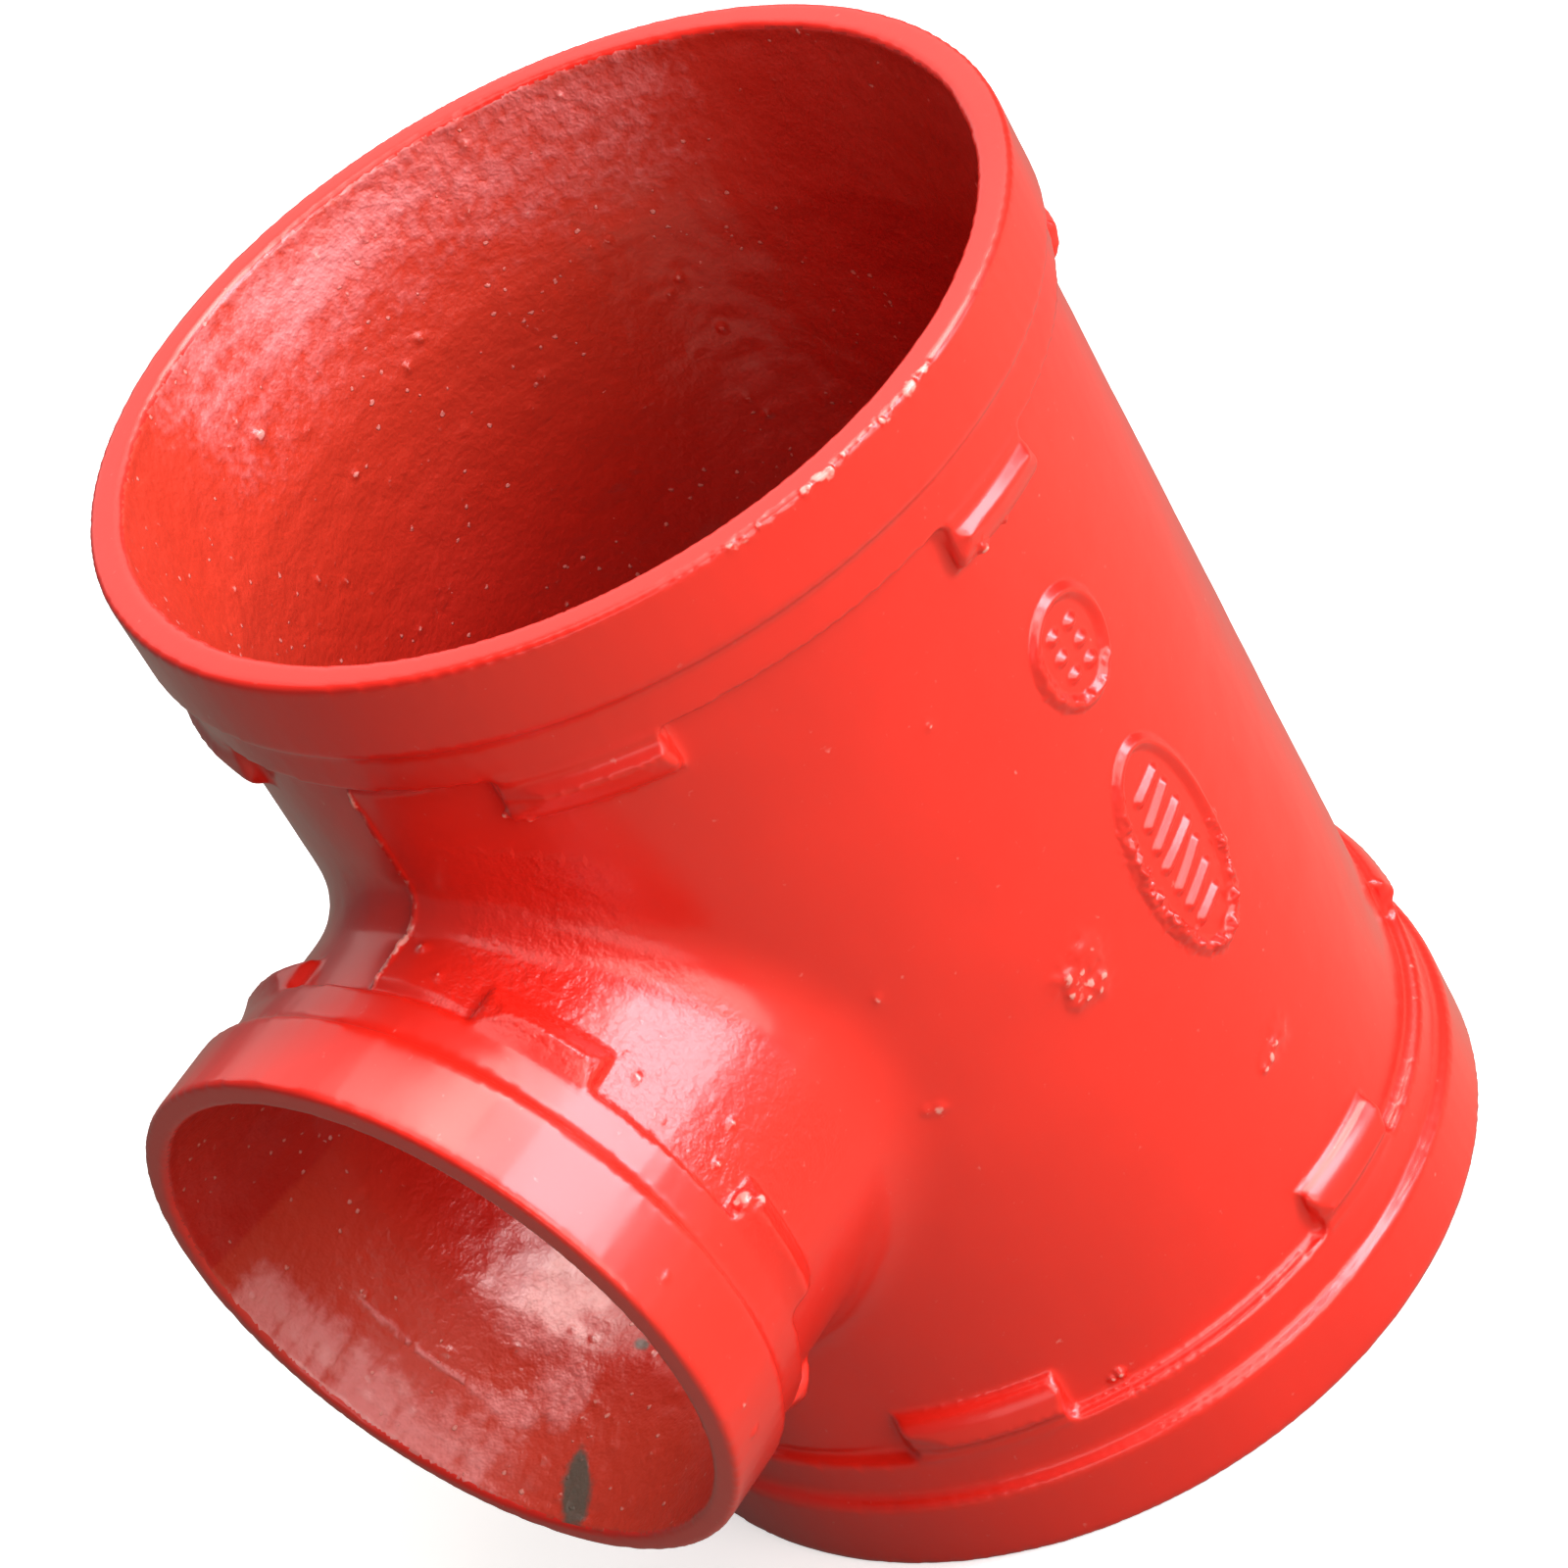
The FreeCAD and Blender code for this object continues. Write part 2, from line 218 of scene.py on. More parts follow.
# Places on the casting. A place on the run is (degrees round from +X, height), in millimetres, and a place
# on the branch is (degrees round from +Y, distance from the run's axis).
def on_run(points):
    radius = np.hypot(points[:, 0], points[:, 1])
    return radius, np.degrees(np.arctan2(points[:, 1], points[:, 0])), points[:, 2] / MM


def on_arm(points):
    up = points[:, 2] - MID
    radius = np.hypot(points[:, 1], up)
    return radius, np.degrees(np.arctan2(up, points[:, 1])), points[:, 0] / MM


def run_spot(degrees, height, radius):
    a = math.radians(degrees)
    return np.array((radius * math.cos(a), radius * math.sin(a), height * MM))


def arm_spot(degrees, along, radius):
    a = math.radians(degrees)
    return np.array((along * MM, radius * math.cos(a), MID + radius * math.sin(a)))


def from_middle(height):
    return np.abs(height - MID / MM)


def from_run_end(height):
    return MID / MM - from_middle(height)


# Raised oval rings on the front of the body: height of the centre, half width, half height, and for the
# worn lower left, where the wear starts and how deep it goes. What fills them is plain pips and bars that
# stand for nothing, each given as its place across and up from the ring's centre, its lean in degrees and
# its half length.
RING_AZIMUTH = 90.5
RING_ROUND = 12
RING_HEIGHTS = (78, 168)
RING_RISE = 1.25
RING_HALF_WIDE = 1.6
RING_WANDER = 0.35
RING_UNEVEN = 0.45
RING_GRIT = [(1, 1.3, 31), (0.6, 0.7, 32)]
RING_REACH = 1.6
RING_MARGIN = 2.5
RING_NEAR_R = BODY_R - 2 * MM
WEAR_LEAN = 0.6
WEAR_FULL = 0.3
CREST = 0.15
BAR_RISE = 1.1
BAR_HALF_WIDE = 1.5
BAR_HALF_LONG = 4.4
BAR_SHORTENED = 1.6
BAR_LEANS = (14, 18, 22)
BAR_HEIGHTS = (-14.0, -9.4, -4.8, -0.2, 4.4, 9.0, 13.6)
PIP_HALF_LONG = 0.35
PIPS = [(-2.6, 4.4), (2.2, 3.6), (-2.9, 0.2), (2.5, -0.6), (-2.2, -4.2), (2.3, -4.9)]


def bar(k, up):
    half_long = BAR_HALF_LONG - BAR_SHORTENED * (up / BAR_HEIGHTS[0]) ** 2
    return 0, up, BAR_LEANS[k % len(BAR_LEANS)], half_long


UPPER_MARKS = [(across, up, 0, PIP_HALF_LONG) for across, up in PIPS]
LOWER_MARKS = [bar(k, up) for k, up in enumerate(BAR_HEIGHTS)]
RINGS = [
    (152.8, 8.3, 10.0, -0.25, 0.6, UPPER_MARKS),
    (107.5, 9.7, 22.0, -0.7, 1.8, LOWER_MARKS),
]


def round_body(azimuth):
    return np.radians(azimuth - RING_AZIMUTH) * BODY_R / MM


def roof(away, half_wide):
    # A ridge with straight flanks and a rounded crest, 1 high.
    rise = np.clip(1 - away / half_wide, 0, 1)
    return (rise - CREST * rise ** 6) / (1 - CREST)


def ring_height(u, v, half_wide, half_high, rough):
    # u and v run round and up the body from the ring's centre.
    reach = np.sqrt((u / half_wide) ** 2 + (v / half_high) ** 2)
    slope = np.sqrt((u / half_wide ** 2) ** 2 + (v / half_high ** 2) ** 2) / np.maximum(reach, 1e-6)
    off = (reach - 1) / np.maximum(slope, 1e-6)
    wide = RING_HALF_WIDE * (1 + RING_WANDER * np.minimum(np.abs(rough), 1))
    height = RING_RISE * roof(np.abs(off + RING_WANDER * rough), wide) * (1 + RING_UNEVEN * rough)
    return np.where(reach < RING_REACH, height, 0)


def bar_height(u, v, lean, half_long):
    a = math.radians(lean)
    along = u * math.cos(a) + v * math.sin(a)
    across = -u * math.sin(a) + v * math.cos(a)
    over = np.maximum(np.abs(along) - half_long, 0)
    return BAR_RISE * roof(np.hypot(across, over), BAR_HALF_WIDE)


def ring_marks(points, outside):
    _, azimuth, height = on_run(points)
    near = outside & (np.abs(azimuth - RING_AZIMUTH) < RING_ROUND)
    near &= (height > RING_HEIGHTS[0]) & (height < RING_HEIGHTS[1])
    p = points[near]
    u = round_body(azimuth[near])
    grit = layered(p, RING_GRIT)
    rise = np.zeros(len(p))
    for centre, half_wide, half_high, worn_from, worn_deep, marks in RINGS:
        v = height[near] - centre
        worn = smooth_step(-v / half_high - WEAR_LEAN * u / half_wide, worn_from, WEAR_FULL)
        rise = np.maximum(rise, ring_height(u, v, half_wide, half_high, grit * worn * worn_deep))
        for across, up, lean, half_long in marks:
            rise = np.maximum(rise, bar_height(u - across, v - up, lean, half_long))
    field = np.zeros(len(points))
    field[near] = rise
    return field


def near_rings(points):
    radius, azimuth, height = on_run(points)
    u = round_body(azimuth)
    mask = np.zeros(len(points), bool)
    for centre, half_wide, half_high, *_ in RINGS:
        mask |= np.hypot(u / (half_wide + RING_MARGIN), (height - centre) / (half_high + RING_MARGIN)) < 1
    return mask & (radius > RING_NEAR_R)


# Lumps and burrs of the casting: degrees round, height or distance along, how far its middle lies over the
# plain wall, radius and rise.
BODY_LUMPS = [
    (71.4, 106.7, 0, 3.4, 0.95), (68.5, 105.2, 0, 3.0, 0.95), (71.0, 100.9, 0, 2.8, 0.9),
    (68.6, 101.0, 0, 2.5, 0.8), (68.2, 106.1, 0, 0.8, 1.35), (70.1, 105.0, 0, 0.7, 1.45),
    (72.3, 101.5, 0, 0.9, 1.3), (67.6, 102.7, 0, 0.8, 1.2), (70.4, 102.0, 0, 0.9, 1.4),
    (71.1, 99.5, 0, 0.7, 1.3), (69.3, 100.3, 0, 0.7, 1.3), (90.3, 61.6, 0, 2.4, 0.75),
    (88.0, 60.7, 0, 2.0, 0.65), (88.8, 61.4, 0, 0.8, 1.1), (87.3, 59.9, 0, 0.7, 0.95),
    (86.0, 59.4, 0, 0.8, 0.9), (49.5, 27.8, 1.95, 0.9, 1.1), (48.4, 27.4, 1.95, 0.7, 0.8),
    (68.7, 163.3, 0, 0.8, 0.5), (47.2, 123.5, 0, 0.8, 0.45), (46.9, 97.7, 0, 1.3, 0.5),
    (45.6, 98.4, 0, 0.9, 0.45), (98.6, 104.0, 0, 0.7, 0.5), (98.0, 98.5, 0, 0.8, 0.45),
    (21.5, 184.3, 1, 0.8, 0.8), (23.1, 183.4, 1, 0.9, 0.5), (84.4, 183.7, 2, 1.2, 1.1),
    (89.5, 182.8, 1, 0.8, 0.7),
]
ARM_LUMPS = [
    (11.6, 92.7, 2, 1.6, 1.3), (9.6, 91.6, 2, 1.1, 1.2), (13.2, 93.8, 2, 1.0, 0.9),
    (16.9, 113.4, 4.45, 0.6, 0.35), (-20.9, 114.6, 4.45, 0.5, 0.5), (-12.5, 115.0, 4.45, 0.5, 0.45),
    (18.6, 91.0, 0, 0.7, 0.6), (20.5, 84.0, 0, 0.8, 0.5), (39.0, 89.0, 0, 0.7, 0.5),
    (85.1, 86.0, 0, 0.7, 0.6), (78.6, 90.2, 0, 0.6, 0.4),
]
BORE_NODULES = [
    (-83.8, 194.8, 0, 0.9, 0.9), (-93.0, 175.0, 0, 0.8, 0.8), (-60.1, 186.0, 0, 0.8, 0.5),
    (-141.8, 183.3, 0, 0.6, 0.5),
]
# Specks thrown over an area: seed, how many, kind of place, wall, degrees, lengths, radii and rises.
SPECKS = [
    (5, 46, run_spot, BORE_R, (-150, -50), (120, 212), (0.45, 0.8), (0.25, 0.6)),
    (6, 22, arm_spot, ARM_BORE_R, (-170, -80), (84, 118), (0.4, 0.7), (0.2, 0.5)),
    (7, 40, arm_spot, NECK_R + 1.5 * MM, (15, 75), (78, 94), (0.25, 0.42), (0.05, 0.14)),
]


def placed(spot, wall, table):
    made = []
    for degrees, along, over, radius, rise in table:
        made.append((spot(degrees, along, wall + over * MM), radius, rise))
    return made


def scattered(seed, count, spot, wall, degrees, lengths, radii, rises):
    draw = np.random.default_rng(seed)
    made = []
    for _ in range(count):
        place = spot(draw.uniform(*degrees), draw.uniform(*lengths), wall)
        made.append((place, draw.uniform(*radii), draw.uniform(*rises)))
    return made


LUMPS = placed(run_spot, BODY_R, BODY_LUMPS) + placed(arm_spot, NECK_R, ARM_LUMPS)
LUMPS += placed(run_spot, BORE_R, BORE_NODULES)
for row in SPECKS:
    LUMPS += scattered(*row)

LUMP_MARGIN = 3.4
LUMP_AREA = 4
LUMP_SEED = 17
LUMP_EDGE = 2.5
LUMP_RAGGED = (0.35, 0.9)
LUMP_ROCKY = (0.35, 1.4, 33)
BIG_LUMP = 1.9
# How pale the lumps' tops are painted, as painted highlights: big lumps, small lumps by their rise, and the
# width of the pale top.
BIG_LUMP_GLINT = 0.25
SMALL_LUMP_GLINT = 1.2
LUMP_TOP = 0.7


def near_spot(points, spot, radius):
    # Which points lie round a spot, and how far from it. The spot may lie a little under or over the skin,
    # so the distance is taken along the skin.
    away = np.linalg.norm(points - spot, axis=1) / MM
    near = away < LUMP_AREA * (radius + 1)
    closest = away[near].min() if near.any() else 0
    return near, np.sqrt(np.maximum(away[near] ** 2 - closest ** 2, 0))


def lump_field(points):
    field = np.zeros(len(points))
    for spot, radius, rise in LUMPS:
        near, flat = near_spot(points, spot, radius)
        p = points[near]
        share, wavelength = LUMP_RAGGED
        ragged = 1 + share * noise(p, wavelength * MM, int(1000 * rise) + LUMP_SEED)
        rocky = rise * (1 + layered(p, [LUMP_ROCKY]))
        field[near] = np.maximum(field[near], rocky * np.exp(-(flat / (radius * ragged)) ** LUMP_EDGE))
    return field


def glint_and_chip_field(points, seam):
    # Pale spots: painted highlights on the tops of the lumps and along the crotch's edge, and bare chips
    # along the bead.
    glints_and_chips = np.zeros(len(points))
    for spot, radius, rise in LUMPS:
        near, flat = near_spot(points, spot, radius)
        glint = BIG_LUMP_GLINT if radius > BIG_LUMP else min(1, SMALL_LUMP_GLINT * rise)
        glints_and_chips[near] = np.maximum(glints_and_chips[near], glint * ridge(flat, LUMP_TOP * radius))
    return np.maximum(glints_and_chips, seam)


def near_lumps(points):
    mask = np.zeros(len(points), bool)
    for spot, radius, _ in LUMPS:
        mask |= np.linalg.norm(points - spot, axis=1) < (radius + LUMP_MARGIN) * MM
    return mask


# The lugs' ramps run more steeply to the crest and from it than in the solid. These are distances from the
# end face.
LUG_FROM, LUG_HOLLOW, LUG_CREST, LUG_SWELL, LUG_END = 24.9, 26.6, 29.2, 32.4, 35.6
LUG_BEND = 0.42
LUG_FOOT = (78.4, 79.4)
LUG_NEAR_R = 78 * MM


def lug_field(points, outside):
    radius, _, height = on_run(points)
    x = from_run_end(height)
    bend = rise_and_fall(x, LUG_CREST, LUG_SWELL, LUG_SWELL, LUG_END)
    bend -= rise_and_fall(x, LUG_FROM, LUG_HOLLOW, LUG_HOLLOW, LUG_CREST)
    return LUG_BEND * bend * (smooth_step(radius / MM, *LUG_FOOT) * outside)


def near_lugs(points):
    radius, _, height = on_run(points)
    x = from_run_end(height)
    return (radius > LUG_NEAR_R) & (x > LUG_FROM) & (x < LUG_END) & (points[:, 1] > 0)


# The parting line, where the two halves of the mould met. It lies a little to one side of the middle plane.
# In the crotch the front half stands proud of the back half by a step, with a ragged flash on its edge, and
# on the plain body the line is faint. The crotch is given by its distances from the run's axis and from the
# branch's.
PART_Y = -0.4 * MM
PART_WANDER = (0.25, 6, 41)
PART_REACH = 2.2 * MM
CROTCH_ALONG = (70, 74, 93, 96.5)
CROTCH_UP = (46, 50, 81, 83.4)
CROTCH_LEAST = 0.02
CROTCH_STEP = 1.3
STEP_HALF_WIDE = 0.35
STEP_FADE = (4, 26)
FLASH_RISE = 0.6
FLASH_HALF_WIDE = 0.55
FLASH_TEETH = 0.5
FLASH_TEETH_NOISE = (1, 1.7, 42)
FLASH_TEETH_EDGE = (0.1, 0.6)
FAINT_RISE = 0.22
FAINT_HALF_WIDE = 0.9
FAINT_UP = 80
FAINT_ALONG = 90


def crotch_strength(points):
    # 1 on the crotch between the upper collar and the branch collar, fading to 0 round it.
    _, _, height = on_run(points)
    return rise_and_fall(points[:, 0] / MM, *CROTCH_ALONG) * rise_and_fall(from_middle(height), *CROTCH_UP)


def from_parting(points):
    return (points[:, 1] - PART_Y) / MM + layered(points, [PART_WANDER])


def parting_field(points, outside):
    y = from_parting(points)
    strong = crotch_strength(points) * outside
    fade = np.where(y > 0, 1 - smooth_step(y, *STEP_FADE), 0)
    step = CROTCH_STEP * strong * smooth_step(y, -STEP_HALF_WIDE, STEP_HALF_WIDE) * fade
    teeth = smooth_step(layered(points, [FLASH_TEETH_NOISE]), *FLASH_TEETH_EDGE)
    flash = ridge(y, FLASH_HALF_WIDE) * (FLASH_RISE + FLASH_TEETH * teeth)
    _, _, height = on_run(points)
    plain_body = (from_middle(height) < FAINT_UP) & (points[:, 0] / MM < FAINT_ALONG)
    faint = FAINT_RISE * ridge(y, FAINT_HALF_WIDE) * outside * plain_body
    return step + flash * strong + faint


def near_parting(points):
    return (np.abs(points[:, 1] - PART_Y) < PART_REACH) & (crotch_strength(points) > CROTCH_LEAST)


# The top face's outer edge, where the paint has pulled up into a ragged bead, given in degrees round the run.
# It is broken by coarse and by fine noise.
BEAD_ROUND = (56, 60, 87, 92)
BEAD_MARGIN = 2
BEAD_REACH = 2.6
BEAD_RISE = 0.55
BEAD_HALF_WIDE = 1.2
BEAD_COARSE = (1, 1.6, 51)
BEAD_COARSE_EDGE = (-0.15, 0.7)
BEAD_FINE = (1, 0.8, 52)
BEAD_FINE_EDGE = (0.2, 0.8)
BEAD_FINE_SHARE = 0.5


def on_bead(points):
    # Degrees round the run, and the distance from the top face's outer edge.
    radius, azimuth, height = on_run(points)
    return azimuth, np.hypot((radius - RUN_END_R) / MM, height - RUN_LONG / MM)


def bead_field(points):
    azimuth, edge = on_bead(points)
    ragged = smooth_step(layered(points, [BEAD_COARSE]), *BEAD_COARSE_EDGE)
    ragged += BEAD_FINE_SHARE * smooth_step(layered(points, [BEAD_FINE]), *BEAD_FINE_EDGE)
    return BEAD_RISE * rise_and_fall(azimuth, *BEAD_ROUND) * ragged * ridge(edge, BEAD_HALF_WIDE)


def near_bead(points):
    azimuth, edge = on_bead(points)
    start, end = BEAD_ROUND[0] - BEAD_MARGIN, BEAD_ROUND[3] + BEAD_MARGIN
    return (edge < BEAD_REACH) & (azimuth > start) & (azimuth < end)


# How strong the painted highlight along the crotch's edge is: everywhere, more towards the branch, and in
# places.
SEAM_GLINT = 0.5
SEAM_GLINT_OUT = 0.3
SEAM_OUT = (80, 85)
SEAM_GLINT_PATCHES = 0.4
SEAM_GLINT_PATCHES_NOISE = [(1, 2.6, 43), (0.5, 1.1, 44)]
SEAM_GLINT_PATCHES_EDGE = (0.0, 0.7)
SEAM_SIDE = 0.2
SEAM_HALF_WIDE = 0.8
BEAD_BARE = 1.6


def seam_glints_and_chips(points, outside):
    # Painted highlight along the crotch's edge, and the bare chips along the bead on the rim.
    patchy = smooth_step(layered(points, SEAM_GLINT_PATCHES_NOISE), *SEAM_GLINT_PATCHES_EDGE)
    glint = SEAM_GLINT + SEAM_GLINT_OUT * smooth_step(points[:, 0] / MM, *SEAM_OUT) + SEAM_GLINT_PATCHES * patchy
    seam = crotch_strength(points) * outside * ridge(from_parting(points) - SEAM_SIDE, SEAM_HALF_WIDE) * glint
    return np.maximum(seam, np.minimum(1, BEAD_BARE * bead_field(points)))


# What parts the passages' walls from the outside: the radii below which a point is inside, how deep the
# branch's mouth and the end faces count, and the radius past which the passage is the branch's.
RUN_INSIDE_R = BODY_R - 0.6 * MM
NECK_INSIDE_R = NECK_R - 0.2 * MM
MOUTH_INSIDE_R = ARM_END_R - 3 * MM
MOUTH_DEEP = 20 * MM
FACE_DEEP = 0.5 * MM
PASSAGES_MEET_R = BORE_R + 1.5 * MM


def inner_mask(points):
    # True on the walls of the passages, false on the outside and the end faces.
    run_radius, _, _ = on_run(points)
    arm_radius, _, _ = on_arm(points)
    in_run = run_radius < RUN_INSIDE_R
    in_arm = (arm_radius < NECK_INSIDE_R) & (points[:, 0] > 0)
    in_arm |= (arm_radius < MOUTH_INSIDE_R) & (points[:, 0] > REACH - MOUTH_DEEP)
    face = (np.abs(points[:, 2] - MID) > MID - FACE_DEEP) | (points[:, 0] > REACH - FACE_DEEP)
    return (in_run | in_arm) & ~face


def in_passages(points, inside):
    # The points in the run's passage and those in the branch's.
    run_radius, _, _ = on_run(points)
    level = np.abs(points[:, 2] - MID) < ARM_END_R
    branch = inside & (run_radius > PASSAGES_MEET_R) & (points[:, 0] > 0) & level
    return inside & ~branch, branch


# The uneven skin that sand leaves under the paint: rougher in the passages, nearly flat on the machined
# lands, which start this far from the middle along the run and along the branch.
OUTER_SKIN = 0.07
OUTER_WAVES = [(1, 9, 61), (0.45, 3.6, 62)]
INNER_WAVES = [(0.16, 4.2, 63), (0.10, 2.4, 64), (0.12, 14, 65)]
LAND_UP = (91, 94)
LAND_ALONG = (103, 106)
LAND_FLATTER = 0.7


def skin_field(points, inside):
    _, _, height = on_run(points)
    land = np.maximum(smooth_step(from_middle(height), *LAND_UP), smooth_step(points[:, 0] / MM, *LAND_ALONG))
    outer = OUTER_SKIN * (1 - LAND_FLATTER * land)
    return np.where(inside, layered(points, INNER_WAVES), outer * layered(points, OUTER_WAVES))


def drawn_out(across, along, stretch, wavelength, seed):
    # Noise stretched along one way.
    flat = np.column_stack((across, along / stretch, np.zeros(len(across)))) * MM
    return noise(flat, wavelength * MM, seed)


# Painted sheen in the run's mouth, as pale paint: a band under the rim that slants down round the run, and a
# fainter sheen round it.
BAND = 0.8
BAND_AT = (-105, 208)
BAND_SLANT = 0.10
BAND_HALF_HIGH = 8.5
BAND_ROUND = (-112, -98, 24)
RUN_SHEEN = 0.46
RUN_SHEEN_ROUND = (-150, -84, 22)
RUN_SHEEN_UP = (172, 214)
RUN_GRAIN = 0.45
RUN_GRAIN_NOISE = (3, 2.6, 71)
# Painted sheen and reflection in the branch, as pale paint. Patches: degrees and length of the centre, their
# half sizes, unevenness, strength, and how far out they are full. Streaks by the lip, painted highlights:
# from and to in degrees, start and full length, strength.
# The noises drawn out along one way are a stretch, a wavelength and a seed.
PATCHES = [
    (-119, 88, 20, 10.5, 0.2, 0.56, 0.4),
    (-118, 105.5, 11, 3.4, 0.25, 0.66, 0.5),
    (-108, 98, 8, 9, 0.25, 0.66, 0.4),
]
PATCH_END = 1.2
PATCH_NOISE = (3, 5, 72)
STREAKS = [(-166, -136, 106, 116, 1.3), (-162, -116, 103, 117, 0.75)]
STREAK_FADE = 12
STREAK_SHARE = (0.8, 0.5)
STREAK_NOISE = (5, 1.8, 73)
DEGREE_LONG = 0.86
CORE_SEAM = 0.85
CORE_SEAM_AT = 104.3
CORE_SEAM_WAVE = 0.8
CORE_SEAM_WAVES_ROUND = 4
CORE_SEAM_WAVE_AT = -130
CORE_SEAM_ROUND = (-149, -118, 4)
CORE_SEAM_HALF_WIDE = 0.55


def run_painted_sheen(points):
    _, azimuth, height = on_run(points)
    round_run = np.radians(azimuth) * BORE_R / MM
    off = height - BAND_AT[1] + BAND_SLANT * (azimuth - BAND_AT[0])
    band = BAND * ridge(off, BAND_HALF_HIGH) * window(azimuth, *BAND_ROUND)
    band = np.maximum(band, RUN_SHEEN * window(azimuth, *RUN_SHEEN_ROUND) * smooth_step(height, *RUN_SHEEN_UP))
    return band * (1 + RUN_GRAIN * drawn_out(height, round_run, *RUN_GRAIN_NOISE))


def branch_painted_sheen(points):
    # Painted sheen and reflection: a pale patch on the far wall with a tongue below it, pale painted
    # highlights in streaks by the lip, and a painted highlight along the core's seam.
    _, angle, along = on_arm(points)
    uneven = drawn_out(angle, along, *PATCH_NOISE)
    streaky = STREAK_SHARE[0] + STREAK_SHARE[1] * drawn_out(DEGREE_LONG * angle, along, *STREAK_NOISE)
    spots = []
    for at_angle, at_along, half_angle, half_along, share, strength, full in PATCHES:
        away = np.hypot((angle - at_angle) / half_angle, (along - at_along) / half_along) + share * uneven
        spots.append(strength * (1 - smooth_step(away, full, PATCH_END)))
    for start, end, begins, full, strength in STREAKS:
        lip = window(angle, start, end, STREAK_FADE) * smooth_step(along, begins, full)
        spots.append(strength * lip * streaky)
    turn = np.radians(CORE_SEAM_WAVES_ROUND * (angle - CORE_SEAM_WAVE_AT))
    seam_at = CORE_SEAM_AT + CORE_SEAM_WAVE * np.cos(turn)
    spots.append(CORE_SEAM * ridge(along - seam_at, CORE_SEAM_HALF_WIDE) * window(angle, *CORE_SEAM_ROUND))
    return np.max(spots, axis=0)


# Painted sheen: pale paint where the passages' walls show sheen and reflection.
def painted_sheen_field(points, inside):
    in_run, in_branch = in_passages(points, inside)
    return np.clip(run_painted_sheen(points) * in_run + branch_painted_sheen(points) * in_branch, 0, 1)


# Painted light in the passages: near their mouths, on the side away from the crotch, the lit wall is painted
# paler and more orange.
# Lengths over which it comes in, and degrees round.
PAINTED_LIGHT_UP = (120, 190)
PAINTED_LIGHT_ROUND = (-140, -50, 40)
PAINTED_LIGHT_ALONG = (78, 104)
PAINTED_LIGHT_ARM_ROUND = (-172, -70, 30)


def painted_light_field(points, inside):
    in_run, in_branch = in_passages(points, inside)
    _, azimuth, height = on_run(points)
    _, angle, along = on_arm(points)
    run = smooth_step(height, *PAINTED_LIGHT_UP) * window(azimuth, *PAINTED_LIGHT_ROUND)
    branch = smooth_step(along, *PAINTED_LIGHT_ALONG) * window(angle, *PAINTED_LIGHT_ARM_ROUND)
    return run * in_run + branch * in_branch


# Greenish grey stains in the bottom of the branch: a long drop, widest at its middle, and a small spot.
STAIN_ANGLE = -98
DROP_AT = 114
DROP_HALF_LONG = 9
DROP_HALF_WIDE = (1.0, 3.0)
DROP_WIDENS = (104, 113)
DROP_LEAN = 0.45
DROP_LEAN_FROM = 107
DROP_EDGE = (0.45, 1.25)
SPOT = 0.9
SPOT_AT = 86
SPOT_HALF = (2.4, 1.6)
SPOT_EDGE = (0.4, 1.2)


def stain_field(points, inside):
    _, in_branch = in_passages(points, inside)
    _, angle, along = on_arm(points)
    half_wide = DROP_HALF_WIDE[0] + DROP_HALF_WIDE[1] * smooth_step(along, *DROP_WIDENS)
    off = angle - STAIN_ANGLE
    leaning = off - DROP_LEAN * (along - DROP_LEAN_FROM)
    drop = np.hypot(leaning / half_wide, (along - DROP_AT) / DROP_HALF_LONG)
    spot = np.hypot(off / SPOT_HALF[0], (along - SPOT_AT) / SPOT_HALF[1])
    stains = (1 - smooth_step(drop, *DROP_EDGE)) + SPOT * (1 - smooth_step(spot, *SPOT_EDGE))
    return np.clip(stains, 0, 1) * in_branch


# The shoulder of the branch, where the paint lies over rough, hammered looking skin: degrees round,
# distance along, outer limit, and how unevenly.
HAMMERED_ROUND = (8, 70, 14)
HAMMERED_ALONG = (72, 94, 5)
HAMMERED_R = 70 * MM
HAMMERED_SHARE = 0.75
HAMMERED_NOISE = [(0.5, 9, 81)]


def hammered_field(points, outside):
    radius, angle, along = on_arm(points)
    rough = window(angle, *HAMMERED_ROUND) * window(along, *HAMMERED_ALONG) * (radius < HAMMERED_R)
    return rough * outside * (HAMMERED_SHARE + layered(points, HAMMERED_NOISE))


def shaped(obj):
    # Finer mesh where there is something small to show, then the relief along the skin's own normal.
    divide_where(obj, [near_rings, near_lumps, near_parting, near_bead, near_lugs, near_rings])
    mesh = obj.data
    points = coordinates(mesh)
    inside = inner_mask(points)
    outside = ~inside
    rise = skin_field(points, inside) + ring_marks(points, outside) + lump_field(points)
    rise += parting_field(points, outside) + bead_field(points) + lug_field(points, outside)
    moved = points + vertex_normals(mesh) * rise[:, None] * MM
    moved = np.clip(moved, LOW + BOX_MARGIN, HIGH - BOX_MARGIN)
    mesh.vertices.foreach_set("co", moved.astype(np.float32).ravel())
    mesh.update()
    fields = {
        "painted_sheen": painted_sheen_field(points, inside),
        "painted_light": painted_light_field(points, inside),
        "stain": stain_field(points, inside),
        "glints_and_chips": glint_and_chip_field(points, seam_glints_and_chips(points, outside)),
        "hammered": hammered_field(points, outside),
    }
    for name, values in fields.items():
        layer = mesh.attributes.new(name, "FLOAT", "POINT")
        layer.data.foreach_set("value", values.astype(np.float32))
    return inside


